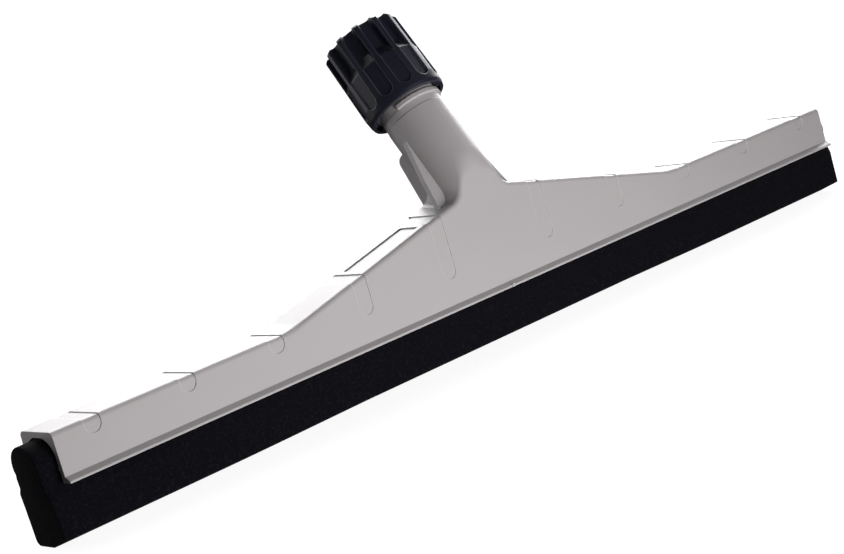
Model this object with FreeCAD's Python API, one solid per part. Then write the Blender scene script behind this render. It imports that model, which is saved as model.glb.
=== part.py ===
"""Head of a floor squeegee: a moulded channel frame with a leaning handle neck, a ribbed
locking collar with its grip collet, and a double-leaf foam blade on a core strip.

Millimetres.  The origin is the middle of the blade's working edge: X runs along the blade,
-Y is the front that faces the water, +Z is up and the neck leans back towards +Y.
One STEP file per piece goes to parts/.
"""
import FreeCAD, Part
import math
import os

V = FreeCAD.Vector

# ---------------------------------------------------------------- driving dimensions
# Channel frame
FRAME_LENGTH = 536.0         # end to end
END_TOP_Z = 49.2             # flat top at both ends, above the working edge
TOP_WIDTH = 25.8             # across the flat top
WALL_DRAFT = 2.6             # outward lean of the outer walls, degrees
ROOF_THICKNESS = 2.8
WALL_THICKNESS = 2.3         # at the height of the end roof's underside
CAVITY_DRAFT = 1.0           # degrees
CAVITY_CORNER = 9.0          # rounding of the inner roof corners
TOP_EDGE_ROUND = 2.5         # rounding of the outer top edges

# Gable in the middle of the frame
GABLE_HALF_SPAN = 135.9      # from the middle to where the slope starts
GABLE_RISE = 31.26           # to the sharp ridge that the rounding removes
GABLE_ROUND = 60.0           # rounding of the ridge and of the two valleys

# Lip along both wall bottoms
LIP_BOTTOM_Z = 26.8
LIP_HEIGHT = 2.7
LIP_OUT = 3.25               # how far the lip stands out of the wall
LIP_EDGE = 0.9               # thickness of the lip's outer edge

# Inner beads that hold the blade up in the channel
BEAD_ABOVE_LIP = 3.5
BEAD_PROUD = 0.8
BEAD_HALF_HEIGHT = 1.4

# Shallow bands across the top and down both walls
BAND_FIRST_X = 35.0
BAND_PAST_GABLE = 9.5        # from the foot of the slope to the band beyond it
BAND_TO_END = 20.2           # from the last band to the frame's end
SLOPE_BAND_COUNT = 2         # equal spaces between the bands of one slope
END_BAND_COUNT = 2           # equal spaces between the bands of one flat end
BAND_WIDTH = 8.5
BAND_DEPTH = 0.4
BAND_DROP = 7.4              # how far the bands run down the walls

# Bare label panel sunk in one slope, between two bands
PANEL_MARGIN = 2.35          # to the band on each side
PANEL_WIDTH = 13.0
PANEL_DEPTH = 0.5
PANEL_CORNER = 1.2

# Webs under the gable that the blade seats against
WEB_THICKNESS = 2.0

# Neck, measured along its axis from the pivot on the gable's ridge
NECK_LEAN = 32.0             # degrees back from upright
NECK_RADIUS = 16.5
NECK_UPPER_STEP = 0.2        # the tube above its parting line is this much slimmer
NECK_PARTING_T = 42.9
NECK_FOOT_DEPTH = 7.5        # the tube's lower end, below the pivot
NECK_FLARE = 8.0             # fillet between the neck and the gable
FLARE_FOOT_ROUND = 2.5       # rounding of the front edge where the flare leaves the slope,
FLARE_HEAD_ROUND = 3.0       # where it meets the neck,
ARCH_ROUND = 24.0            # and in the middle, where the neck runs into the front wall
SOCKET_RADIUS = 12.4         # bore for a 24 mm handle
SOCKET_FLOOR_T = 12.0
SOCKET_FLOOR_THICKNESS = 3.0
CORE_WALL = 3.2              # wall round the hollow below the socket's floor
MOUTH_DEPTH = 13.5           # tapered mouth at the neck's top
MOUTH_STEP = 1.0             # where the taper starts, wider than the socket
MOUTH_TAPER = 1.6            # further widening up to the neck's top

# Stop ring below the thread, on part of the circle
STOP_ABOVE_PARTING = 4.1
STOP_PROUD = 1.1
STOP_HEIGHT = 2.2
STOP_FROM = -60.0            # degrees round the neck from its front, towards +X
STOP_SWEEP = 190.0

# Gussets between neck and frame
GUSSET_SEAT = 1.3            # how deep a gusset is sunk in what it stands on
SIDE_GUSSET_THICKNESS = 3.2
SIDE_GUSSET_TOP_T = 32.5
SIDE_GUSSET_KNEE_T = 10.0
SIDE_GUSSET_KNEE_OUT = 5.0   # from the neck's side
SIDE_GUSSET_FOOT_OUT = 7.9
REAR_GUSSET_THICKNESS = 2.4
REAR_GUSSET_TOP_T = 37.0
REAR_GUSSET_OUT = 12.5       # from the neck's back to the outer top corner
REAR_GUSSET_CORNER = 4.0

# Moulding gate mark on the front lip
GATE_RADIUS = 1.1
GATE_PROUD = 0.5

# Screw thread of neck and collar
THREAD_PITCH = 4.0
THREAD_RIDGE = 1.0           # height of the neck's ridge
THREAD_RELIEF = 0.3          # the thread's root, below the neck's surface
THREAD_CLEARANCE = 0.3       # crest to the other part's root
THREAD_ROOT_SINK = 0.3       # how deep a ridge is rooted in its wall
NECK_THREAD_LENGTH = 18.0    # threaded end of the neck, above the stop ring
NECK_RIDGE_BASE = 2.0
NECK_RIDGE_CREST = 1.0
NECK_RIDGE_TURNS = 3.0
COLLAR_RIDGE_BASE = 1.5
COLLAR_RIDGE_CREST = 0.8
COLLAR_RIDGE_TURNS = 2.4
COLLAR_RIDGE_LEAD = 1.5      # in pitches, from the neck's ridge to the collar's
TIGHTEN_TRAVEL = 3.0         # how far the collar screws down from here to the stop
STOP_CLEARANCE = 0.3

# Locking collar
COLLAR_LENGTH = 45.0
COLLAR_SKIRT_U = 7.0         # height of the widest point above the rim
COLLAR_RIM_U = 2.0           # height of the rounded rim
COLLAR_SKIRT_FLARE = 1.0     # the widest point, over the rim
COLLAR_RIM_FLARE = 0.6       # the top of the rounded rim, over the rim
COLLAR_TOP_FLARE = 0.4       # the top, over the rim
COLLAR_TOP_CHAMFER = 1.4
COLLAR_RIBS = 12
COLLAR_RIB_PHASE = -8.5      # degrees from the front, towards +X
POCKET_BOTTOM_U = 4.6
POCKET_TOP_U = 23.5
POCKET_WIDTH = 7.7
POCKET_DEPTH = 1.1
FLUTE_START_U = 29.5
FLUTE_FLOOR_WIDTH = 5.4
FLUTE_MOUTH_WIDTH = 7.6      # at the ribs' rounded shoulders
FLUTE_DEPTH = 4.3            # below the ribs at the collar's top
FLUTE_CORNER = 1.6           # rounding along the flute's floor
RIB_SHOULDER = 0.8           # height and width of the shoulder along each rib
SLEEVE_WALL = 1.0
SLEEVE_RECESS = 2.5          # the threaded sleeve stops this far above the rim
SLEEVE_PAST_NECK = 1.0
SHELL_WALL = 1.6
ANNULUS_WIDTH = 1.0          # open gap between sleeve and shell
ANNULUS_HEIGHT = 17.0
COLLAR_WEB_THICKNESS = 1.1
COLLAR_WEB_RECESS = 0.8      # the webs stop this far above the rim
COLLAR_MOUTH_PLAY = 0.9      # the collar's top hole is this much wider than the socket
COLLAR_MOUTH_CHAMFER = 1.2

# Grip collet, snapped into the collar
COLLET_FLANGE_PLAY = 0.5     # to the collar's bore that it is pushed through
COLLET_FLANGE_THICKNESS = 3.5
COLLET_ABOVE_NECK = 6.0      # from the neck's top to the flange
COLLET_FINGER_DEPTH = 8.5    # how far the fingers reach into the neck's mouth
COLLET_SLOTS = 6
COLLET_SLOT_WIDTH = 1.6
COLLET_SLOT_END = 1.75       # the slots stop this far below the flange
COLLET_PLAY = 0.3            # round, under and over the flange
COLLET_TAPER_PLAY = 0.25     # to the neck's mouth when fully tightened
SNAP_BEAD_HEIGHT = 1.2
SNAP_BEAD_OVERLAP = 0.5      # how far the bead reaches under the flange

# Foam blade and its core strip
BLADE_LEFT_OVERHANG = 10.0   # past the frame's left end, at the fold
BLADE_RIGHT_OVERHANG = 5.4   # past its right end
BLADE_END_SLANT = 2.9        # both ends lean in by this angle towards the working edge
BLADE_FRONT_OUT = 13.9       # the front leaf's lower edge, from the middle plane
BLADE_FRONT_HIP_OUT = 12.6   # where it widens under the lip
BLADE_FRONT_HIP_Z = 22.0
BLADE_REAR_OUT = 12.0        # the rear leaf's face, from the middle plane
BLADE_REAR_HIP_Z = 24.0
BLADE_SIDE_GAP = 0.45        # to each inner wall
BLADE_ROOF_GAP = 0.4
BLADE_BEAD_GAP = 0.4
BLADE_TOP_ROUND = 10.2       # the fold is all but a half circle
BLADE_FRONT_EDGE_ROUND = 1.0
BLADE_REAR_EDGE_ROUND = 3.0
BLADE_BEVEL_RISE = 3.9       # the front leaf's lower face rises to its front edge
BLADE_LAND = 1.2             # half the flat land in the middle, beside which it starts to rise
BLADE_HIP_ROUND = 6.0
SEAM_Y = 1.2                 # the slit between the two leaves, near the middle plane
SEAM_GAP = 0.6
SEAM_BELOW_TOP = 9.6
CORE_END_MARGIN = 15.0       # the strip stops this far inside each end of the blade
CORE_THICKNESS = 1.6
CORE_ABOVE_LIP = 1.2         # its lower edge, above the bottom of the channel
CORE_HEIGHT = 11.0
CORE_CORNER = 2.75
CORE_CLEARANCE = 0.3

# ---------------------------------------------------------------- derived places
OVERSIZE = 40.0              # how far a cutting body runs past what it cuts
CUT_PAST = 1.0               # the same, where there is little room
SAME_POINT = 1e-6            # points nearer than this are one point
ON_SURFACE = 1e-3            # a point this near to a surface lies on it
SLOPE = math.atan(GABLE_RISE / GABLE_HALF_SPAN)
LIP_TOP_Z = LIP_BOTTOM_Z + LIP_HEIGHT
ROOF_Z = END_TOP_Z - ROOF_THICKNESS
RIDGE_Z = END_TOP_Z + GABLE_RISE
BEAD_Z = LIP_TOP_Z + BEAD_ABOVE_LIP
BLADE_TOP_Z = ROOF_Z - BLADE_ROOF_GAP
NECK_PLACE = FreeCAD.Placement(V(0, 0, RIDGE_Z), FreeCAD.Rotation(V(1, 0, 0), -NECK_LEAN))

STOP_BOTTOM_T = NECK_PARTING_T + STOP_ABOVE_PARTING
STOP_TOP_T = STOP_BOTTOM_T + STOP_HEIGHT
STOP_RADIUS = NECK_RADIUS + STOP_PROUD
THREAD_START_T = STOP_TOP_T + STOP_CLEARANCE
NECK_TOP_T = THREAD_START_T + NECK_THREAD_LENGTH
NECK_THREAD_ROOT = NECK_RADIUS - THREAD_RELIEF
NECK_CREST = NECK_THREAD_ROOT + THREAD_RIDGE
MOUTH_START_T = NECK_TOP_T - MOUTH_DEPTH

SLEEVE_RADIUS = NECK_CREST + THREAD_CLEARANCE
COLLAR_CREST = NECK_THREAD_ROOT + THREAD_CLEARANCE
SHELL_RADIUS = SLEEVE_RADIUS + SLEEVE_WALL + ANNULUS_WIDTH
COLLAR_RIM_RADIUS = SHELL_RADIUS + SHELL_WALL
COLLAR_SKIRT_RADIUS = COLLAR_RIM_RADIUS + COLLAR_SKIRT_FLARE
COLLAR_TOP_RADIUS = COLLAR_RIM_RADIUS + COLLAR_TOP_FLARE
COLLAR_BOTTOM_T = STOP_TOP_T + TIGHTEN_TRAVEL + STOP_CLEARANCE - SLEEVE_RECESS
COLLAR_TOP_T = COLLAR_BOTTOM_T + COLLAR_LENGTH
COLLAR_MOUTH_RADIUS = SOCKET_RADIUS + COLLAR_MOUTH_PLAY
COLLAR_BORE_RADIUS = COLLAR_CREST + THREAD_CLEARANCE

COLLET_FLANGE_RADIUS = COLLAR_BORE_RADIUS - COLLET_FLANGE_PLAY
COLLET_FLANGE_T = NECK_TOP_T + COLLET_ABOVE_NECK
COLLET_TOP_T = COLLET_FLANGE_T + COLLET_FLANGE_THICKNESS
COLLET_BOTTOM_T = NECK_TOP_T - COLLET_FINGER_DEPTH

BLADE_LEFT_X = -FRAME_LENGTH / 2 - BLADE_LEFT_OVERHANG
BLADE_RIGHT_X = FRAME_LENGTH / 2 + BLADE_RIGHT_OVERHANG
SEAM_TOP_Z = BLADE_TOP_Z - SEAM_BELOW_TOP
CORE_LEFT_X = BLADE_LEFT_X + CORE_END_MARGIN
CORE_RIGHT_X = BLADE_RIGHT_X - CORE_END_MARGIN
CORE_BOTTOM_Z = LIP_BOTTOM_Z + CORE_ABOVE_LIP


def evenly(first, last, steps):
    """Places from first to last, in equal steps."""
    return [first + (last - first) * i / steps for i in range(steps + 1)]


def slope_bands():
    """X of the bands from the neck down to the foot of the right slope."""
    return evenly(BAND_FIRST_X, GABLE_HALF_SPAN + BAND_PAST_GABLE, SLOPE_BAND_COUNT)


def band_places():
    """X of every band: down each slope, then along each flat end."""
    slope = slope_bands()
    right = slope + evenly(slope[-1], FRAME_LENGTH / 2 - BAND_TO_END, END_BAND_COUNT)[1:]
    return [-x for x in reversed(right)] + right


def outer_half_width(z, inset=0.0):
    """Half the frame's width over the drafted walls at height z."""
    draft = math.radians(WALL_DRAFT)
    return TOP_WIDTH / 2 + (END_TOP_Z - z) * math.tan(draft) - inset / math.cos(draft)


def cavity_half_width(z):
    """Half the width between the inner walls at height z."""
    under_roof = outer_half_width(ROOF_Z) - WALL_THICKNESS
    return under_roof + (ROOF_Z - z) * math.tan(math.radians(CAVITY_DRAFT))


def roof_z(x, inset=0.0):
    """Height of the sharp roof line over x."""
    if abs(x) >= GABLE_HALF_SPAN:
        return END_TOP_Z - inset
    rise = (GABLE_HALF_SPAN - abs(x)) * math.tan(SLOPE)
    return END_TOP_Z + rise - inset / math.cos(SLOPE)


# ---------------------------------------------------------------- drawing helpers
def rounded_face(points, radii):
    """Face of a closed polygon, each corner rounded by its own radius (0 stays sharp)."""
    corners = []
    for index, (point, radius) in enumerate(zip(points, radii)):
        if radius <= 0:
            corners.append((point, None, point))
            continue
        back = (points[index - 1] - point).normalize()
        ahead = (points[(index + 1) % len(points)] - point).normalize()
        half = back.getAngle(ahead) / 2
        middle = (back + ahead).normalize()
        centre = point + middle * (radius / math.sin(half))
        cut = radius / math.tan(half)
        corners.append((point + back * cut, centre - middle * radius, point + ahead * cut))
    edges = []
    for index, (_, _, end) in enumerate(corners):
        start, middle, finish = corners[(index + 1) % len(corners)]
        if end.distanceToPoint(start) > SAME_POINT:
            edges.append(Part.LineSegment(end, start).toShape())
        if middle is not None:
            edges.append(Part.Arc(start, middle, finish).toShape())
    return Part.Face(Part.Wire(edges))


def polygon_face(points):
    """Face of a closed polygon with sharp corners."""
    return rounded_face(points, [0] * len(points))


def revolved(profile):
    """Solid of revolution about local Z from (radius, height) points."""
    return polygon_face([V(r, 0, t) for r, t in profile]).revolve(V(0, 0, 0), V(0, 0, 1), 360)


def tube(outer, inner, bottom, top):
    """Round tube about local Z."""
    return revolved([(inner, bottom), (outer, bottom), (outer, top), (inner, top)])


def on_neck(shape):
    """The shape, drawn about local Z, put on the neck's axis."""
    placed = shape.copy()
    placed.Placement = NECK_PLACE.multiply(placed.Placement)
    return placed


def turned(shape, degrees):
    """A copy of the shape turned about local Z."""
    copy = shape.copy()
    copy.rotate(V(0, 0, 0), V(0, 0, 1), degrees)
    return copy


def helical_ridge(root, crest, base, tip, bottom, turns):
    """Thread ridge from radius root to crest, with its flanks' widths at both."""
    helix = Part.makeHelix(THREAD_PITCH, THREAD_PITCH * turns, max(root, crest))
    section = Part.makePolygon([V(root, 0, -base / 2), V(crest, 0, -tip / 2),
                                V(crest, 0, tip / 2), V(root, 0, base / 2),
                                V(root, 0, -base / 2)])
    ridge = helix.makePipeShell([section], True, True)
    return ridge.translated(V(0, 0, bottom))


def edges_where(shape, test):
    """The shape's edges whose five sample points all pass the test."""
    chosen = []
    for edge in shape.Edges:
        span = edge.LastParameter - edge.FirstParameter
        samples = [edge.valueAt(edge.FirstParameter + span * k / 4) for k in range(5)]
        if all(test(point) for point in samples):
            chosen.append(edge)
    return chosen


# ---------------------------------------------------------------- channel frame
def gable_prism(inset, half_length, bottom, half_depth):
    """The frame's outline seen from the front, through its whole depth."""
    valley = GABLE_HALF_SPAN - inset * math.tan(SLOPE / 2)
    low = END_TOP_Z - inset
    points = [V(-half_length, -half_depth, bottom), V(-half_length, -half_depth, low),
              V(-valley, -half_depth, low), V(0, -half_depth, roof_z(0, inset)),
              V(valley, -half_depth, low), V(half_length, -half_depth, low),
              V(half_length, -half_depth, bottom)]
    outline = rounded_face(points, [0, 0, GABLE_ROUND, GABLE_ROUND, GABLE_ROUND, 0, 0])
    return outline.extrude(V(0, 2 * half_depth, 0))


def wall_slab(half_width, half_length, bottom, top):
    """The space between two leaning walls, from their half width as a function of height."""
    section = polygon_face([V(-half_length, -half_width(bottom), bottom),
                            V(-half_length, half_width(bottom), bottom),
                            V(-half_length, half_width(top), top),
                            V(-half_length, -half_width(top), top)])
    return section.extrude(V(2 * half_length, 0, 0))


def top_edges(shape, half_width, inset, side):
    """The long top edges on one wall: side -1 is the front, 1 the back."""
    floor = END_TOP_Z - inset - ON_SURFACE

    def on_wall(point):
        return point.z > floor and abs(point.y - side * half_width(point.z)) < ON_SURFACE

    return edges_where(shape, on_wall)


def frame_block(inset, sides):
    """Outer body of the frame moved in by inset, with the top edges of these walls rounded."""
    def half_width(z):
        return outer_half_width(z, inset)

    block = gable_prism(inset, FRAME_LENGTH / 2, LIP_TOP_Z - OVERSIZE, TOP_WIDTH)
    block = block.common(wall_slab(half_width, FRAME_LENGTH / 2, LIP_TOP_Z, RIDGE_Z))
    edges = []
    for side in sides:
        edges += top_edges(block, half_width, inset, side)
    return block.makeFillet(TOP_EDGE_ROUND - inset, edges)


def front_half(inset=0.0):
    """Everything behind the front wall's plane, which is carried on up past the roof."""
    low = LIP_TOP_Z - OVERSIZE
    high = RIDGE_Z + COLLAR_TOP_T
    reach = high + OVERSIZE
    section = polygon_face([V(-reach, -outer_half_width(low, inset), low), V(-reach, reach, low),
                            V(-reach, reach, high),
                            V(-reach, -outer_half_width(high, inset), high)])
    return section.extrude(V(2 * reach, 0, 0))


def neck_flare():
    """The blend between neck and roof, flush with both walls."""
    wide_roof = gable_prism(0, FRAME_LENGTH / 2, LIP_TOP_Z - OVERSIZE, 2 * OVERSIZE)
    post = Part.makeCylinder(NECK_RADIUS, 2 * OVERSIZE, V(0, 0, -OVERSIZE))
    joined = wide_roof.fuse(on_neck(turned(post, -90)))

    def on_joint(point):
        local = NECK_PLACE.inverse().multVec(point)
        on_post = abs(math.hypot(local.x, local.y) - NECK_RADIUS) < ON_SURFACE
        return on_post and abs(point.z - roof_z(point.x)) < NECK_FLARE / 2

    flared = joined.makeFillet(NECK_FLARE, edges_where(joined, on_joint))
    near = NECK_RADIUS + 2 * NECK_FLARE
    reach = wall_slab(outer_half_width, near, LIP_TOP_Z, RIDGE_Z + OVERSIZE)
    return flared.common(reach)


def neck_tube():
    """Outside of the neck, flush with the front wall where it would stand out of it."""
    slim = NECK_RADIUS - NECK_UPPER_STEP
    foot = -NECK_FOOT_DEPTH
    profile = [(0, foot), (NECK_RADIUS, foot), (NECK_RADIUS, NECK_PARTING_T),
               (slim, NECK_PARTING_T), (slim, STOP_BOTTOM_T),
               (NECK_THREAD_ROOT, STOP_BOTTOM_T), (NECK_THREAD_ROOT, NECK_TOP_T),
               (0, NECK_TOP_T)]
    return on_neck(turned(revolved(profile), -90)).common(front_half())


def rounded_front(body):
    """The body with its front top edges rounded, widest where the neck joins the wall."""
    def radius_at(point):
        if abs(point.x) < SAME_POINT:
            return ARCH_ROUND
        if abs(point.x) < NECK_RADIUS:
            return FLARE_HEAD_ROUND
        return FLARE_FOOT_ROUND if abs(point.x) < NECK_RADIUS + NECK_FLARE else TOP_EDGE_ROUND

    front = top_edges(body, outer_half_width, 0, -1)
    table = []
    for number, edge in enumerate(body.Edges, 1):
        if any(edge.isSame(chosen) for chosen in front):
            ends = [edge.valueAt(edge.FirstParameter), edge.valueAt(edge.LastParameter)]
            table.append((number, radius_at(ends[0]), radius_at(ends[1])))
    document = FreeCAD.newDocument("frame")
    base = document.addObject("Part::Feature", "base")
    base.Shape = body
    fillet = document.addObject("Part::Fillet", "fillet")
    fillet.Base = base
    fillet.Edges = table
    document.recompute()
    return fillet.Shape.copy()


def mouth_radius(height):
    """Radius of the neck's tapered mouth at a height along the axis."""
    share = (height - MOUTH_START_T) / MOUTH_DEPTH
    return SOCKET_RADIUS + MOUTH_STEP + MOUTH_TAPER * share


def socket_bore():
    """Blind bore for the handle, with the tapered mouth that closes the collet."""
    over = NECK_TOP_T + OVERSIZE
    top = mouth_radius(NECK_TOP_T)
    return on_neck(revolved([(0, SOCKET_FLOOR_T), (SOCKET_RADIUS, SOCKET_FLOOR_T),
                             (SOCKET_RADIUS, MOUTH_START_T),
                             (mouth_radius(MOUTH_START_T), MOUTH_START_T),
                             (top, NECK_TOP_T), (top, over), (0, over)]))


def under_core():
    """Hollow below the socket's floor, open to the channel."""
    top = SOCKET_FLOOR_T - SOCKET_FLOOR_THICKNESS
    core = on_neck(Part.makeCylinder(NECK_RADIUS - CORE_WALL, top + OVERSIZE,
                                     V(0, 0, -OVERSIZE)))
    room = wall_slab(lambda z: outer_half_width(z, CORE_WALL), NECK_RADIUS,
                     ROOF_Z, RIDGE_Z + OVERSIZE)
    return core.common(front_half(CORE_WALL)).common(room)


def stop_ring():
    """Raised part ring that marks the end of the thread."""
    ring = tube(STOP_RADIUS, NECK_THREAD_ROOT - THREAD_ROOT_SINK, STOP_BOTTOM_T, STOP_TOP_T)
    wedge = Part.makeCylinder(STOP_RADIUS + CUT_PAST, STOP_HEIGHT + 2 * CUT_PAST,
                              V(0, 0, STOP_BOTTOM_T - CUT_PAST), V(0, 0, 1), STOP_SWEEP)
    return on_neck(ring.common(turned(wedge, STOP_FROM - 90)))


def neck_thread():
    """Right-hand thread ridge that the collar turns on."""
    return on_neck(helical_ridge(NECK_THREAD_ROOT - THREAD_ROOT_SINK, NECK_CREST,
                                 NECK_RIDGE_BASE, NECK_RIDGE_CREST,
                                 THREAD_START_T + NECK_RIDGE_BASE, NECK_RIDGE_TURNS))


def side_gusset(side):
    """Thin plate in the plane of the neck's axis, standing on one slope."""
    def seat(x):
        return (roof_z(x) - GUSSET_SEAT - RIDGE_Z) / math.cos(math.radians(NECK_LEAN))

    inner = NECK_RADIUS - GUSSET_SEAT
    foot = NECK_RADIUS + SIDE_GUSSET_FOOT_OUT
    points = [(inner, SIDE_GUSSET_TOP_T), (NECK_RADIUS, SIDE_GUSSET_TOP_T),
              (NECK_RADIUS + SIDE_GUSSET_KNEE_OUT, SIDE_GUSSET_KNEE_T),
              (foot, seat(foot)), (inner, seat(inner))]
    half = SIDE_GUSSET_THICKNESS / 2
    face = polygon_face([V(side * x, -half, t) for x, t in points])
    return on_neck(face.extrude(V(0, 2 * half, 0)))


def rear_gusset():
    """Upright plate behind the neck, from the neck's back down the rear wall."""
    inner = NECK_RADIUS - GUSSET_SEAT
    neck_low = NECK_PLACE.multVec(V(0, inner, 0))
    neck_high = NECK_PLACE.multVec(V(0, inner, REAR_GUSSET_TOP_T))
    corner = NECK_PLACE.multVec(V(0, NECK_RADIUS + REAR_GUSSET_OUT, REAR_GUSSET_TOP_T))
    points = [V(0, outer_half_width(LIP_TOP_Z), LIP_TOP_Z), corner, neck_high, neck_low,
              V(0, outer_half_width(neck_low.z) - GUSSET_SEAT, neck_low.z),
              V(0, outer_half_width(LIP_TOP_Z) - GUSSET_SEAT, LIP_TOP_Z)]
    plate = rounded_face(points, [0, REAR_GUSSET_CORNER, 0, 0, 0, 0])
    plate = plate.extrude(V(REAR_GUSSET_THICKNESS, 0, 0))
    return plate.translated(V(-REAR_GUSSET_THICKNESS / 2, 0, 0))


def lip(side):
    """Sloping lip along one wall's bottom."""
    inner = cavity_half_width(LIP_BOTTOM_Z)
    wall = outer_half_width(LIP_TOP_Z)
    edge = wall + LIP_OUT
    section = [(inner, LIP_BOTTOM_Z), (edge, LIP_BOTTOM_Z), (edge, LIP_BOTTOM_Z + LIP_EDGE),
               (wall, LIP_TOP_Z), (inner, LIP_TOP_Z)]
    face = polygon_face([V(-FRAME_LENGTH / 2, side * y, z) for y, z in section])
    return face.extrude(V(FRAME_LENGTH, 0, 0))


def bead(side):
    """Low ridge along one inner wall that bites into the blade."""
    wall = cavity_half_width(BEAD_Z)
    root = wall + BEAD_PROUD
    section = [(root, BEAD_Z - BEAD_HALF_HEIGHT), (wall, BEAD_Z - BEAD_HALF_HEIGHT),
               (wall - BEAD_PROUD, BEAD_Z), (wall, BEAD_Z + BEAD_HALF_HEIGHT),
               (root, BEAD_Z + BEAD_HALF_HEIGHT)]
    face = polygon_face([V(-FRAME_LENGTH / 2, side * y, z) for y, z in section])
    return face.extrude(V(FRAME_LENGTH, 0, 0))


def channel_cavity():
    """The channel's inside, open at both ends and at the bottom."""
    half_length = FRAME_LENGTH / 2 + OVERSIZE
    cavity = gable_prism(ROOF_THICKNESS, half_length, LIP_BOTTOM_Z - OVERSIZE, TOP_WIDTH)
    slab = wall_slab(cavity_half_width, half_length, LIP_BOTTOM_Z - CUT_PAST, RIDGE_Z)
    cavity = cavity.common(slab)
    edges = top_edges(cavity, cavity_half_width, ROOF_THICKNESS, -1)
    edges += top_edges(cavity, cavity_half_width, ROOF_THICKNESS, 1)
    return cavity.makeFillet(CAVITY_CORNER, edges)


def band_cuts():
    """Everything that the shallow bands take off the frame."""
    reach = TOP_WIDTH
    low = END_TOP_Z - BAND_DROP
    slots = []
    for x in band_places():
        left = x - BAND_WIDTH / 2
        right = x + BAND_WIDTH / 2
        spring = low + BAND_WIDTH / 2
        arc = Part.Arc(V(left, -reach, spring), V(x, -reach, low),
                       V(right, -reach, spring)).toShape()
        sides = Part.makePolygon([V(right, -reach, spring), V(right, -reach, RIDGE_Z),
                                  V(left, -reach, RIDGE_Z), V(left, -reach, spring)])
        slots.append(Part.Face(Part.Wire([arc] + sides.Edges)).extrude(V(0, 2 * reach, 0)))
    return Part.makeCompound(slots).cut(frame_block(BAND_DEPTH, [-1, 1]))


def label_panel():
    """Recess for a label on the left slope, left bare."""
    inner, outer = slope_bands()[:2]
    middle = -(inner + outer) / 2
    half_x = (outer - inner - BAND_WIDTH) / 2 - PANEL_MARGIN
    half_y = PANEL_WIDTH / 2
    corners = [V(-half_x, -half_y, 0), V(half_x, -half_y, 0), V(half_x, half_y, 0),
               V(-half_x, half_y, 0)]
    tool = rounded_face(corners, [PANEL_CORNER] * 4).extrude(V(0, 0, OVERSIZE))
    tool.translate(V(0, 0, -PANEL_DEPTH))
    tool.rotate(V(0, 0, 0), V(0, 1, 0), -math.degrees(SLOPE))
    return tool.translated(V(middle, 0, roof_z(middle)))


def blade_webs():
    """Cross webs under the gable, at the bands that lie on its slopes."""
    places = slope_bands()[:-1]
    webs = []
    for x in [-x for x in places] + places:
        height = roof_z(x, ROOF_THICKNESS / 2) - ROOF_Z
        webs.append(Part.makeBox(WEB_THICKNESS, TOP_WIDTH, height,
                                 V(x - WEB_THICKNESS / 2, -TOP_WIDTH / 2, ROOF_Z)))
    inside = wall_slab(lambda z: cavity_half_width(z) + BEAD_PROUD, FRAME_LENGTH / 2,
                       ROOF_Z, RIDGE_Z)
    return Part.makeCompound(webs).common(inside)


def gate_mark():
    """Stub left where the frame was gated, on the middle of the front lip."""
    face = outer_half_width(LIP_TOP_Z) + LIP_OUT + GATE_PROUD
    stub = Part.makeCylinder(GATE_RADIUS, GATE_PROUD + LIP_OUT / 2,
                             V(0, -face, LIP_BOTTOM_Z + GATE_RADIUS / 2), V(0, 1, 0))
    return stub.common(Part.makeBox(OVERSIZE, OVERSIZE, OVERSIZE,
                                    V(-OVERSIZE / 2, -OVERSIZE, LIP_BOTTOM_Z)))


def channel_frame():
    """The whole moulded frame: channel, gable, neck, gussets and thread."""
    body = frame_block(0, [1]).fuse([neck_flare(), neck_tube()]).removeSplitter()
    body = rounded_front(body).cut(band_cuts()).cut(label_panel())
    cavity = channel_cavity()
    neck_foot = neck_tube().common(cavity)
    body = body.fuse([lip(-1), lip(1), gate_mark()]).cut(cavity)
    body = body.fuse([neck_foot, side_gusset(-1), side_gusset(1), rear_gusset(), blade_webs(),
                      bead(-1), bead(1), stop_ring()])
    body = body.cut([socket_bore(), under_core()]).removeSplitter()
    return body.fuse(neck_thread())


# ---------------------------------------------------------------- locking collar
def collar_blank():
    """Turned outside of the collar, with all of its inner steps."""
    low = COLLAR_BOTTOM_T
    groove_bottom = COLLET_FLANGE_T - COLLET_PLAY
    groove_top = COLLET_TOP_T + COLLET_PLAY
    bead_bottom = groove_bottom - SNAP_BEAD_HEIGHT
    thread_top = NECK_TOP_T + SLEEVE_PAST_NECK
    groove = COLLET_FLANGE_RADIUS + COLLET_PLAY
    bead_radius = COLLET_FLANGE_RADIUS - SNAP_BEAD_OVERLAP
    outside = [(COLLAR_RIM_RADIUS, low),
               (COLLAR_RIM_RADIUS + COLLAR_RIM_FLARE, low + COLLAR_RIM_U),
               (COLLAR_SKIRT_RADIUS, low + COLLAR_SKIRT_U),
               (COLLAR_TOP_RADIUS, COLLAR_TOP_T - COLLAR_TOP_CHAMFER),
               (COLLAR_TOP_RADIUS - COLLAR_TOP_CHAMFER, COLLAR_TOP_T)]
    inside = [(COLLAR_MOUTH_RADIUS + COLLAR_MOUTH_CHAMFER, COLLAR_TOP_T),
              (COLLAR_MOUTH_RADIUS, COLLAR_TOP_T - COLLAR_MOUTH_CHAMFER),
              (COLLAR_MOUTH_RADIUS, groove_top), (groove, groove_top), (groove, groove_bottom),
              (bead_radius, groove_bottom), (bead_radius, bead_bottom),
              (COLLAR_BORE_RADIUS, bead_bottom), (COLLAR_BORE_RADIUS, thread_top),
              (SLEEVE_RADIUS, thread_top), (SLEEVE_RADIUS, low)]
    return revolved(outside + inside)


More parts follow.
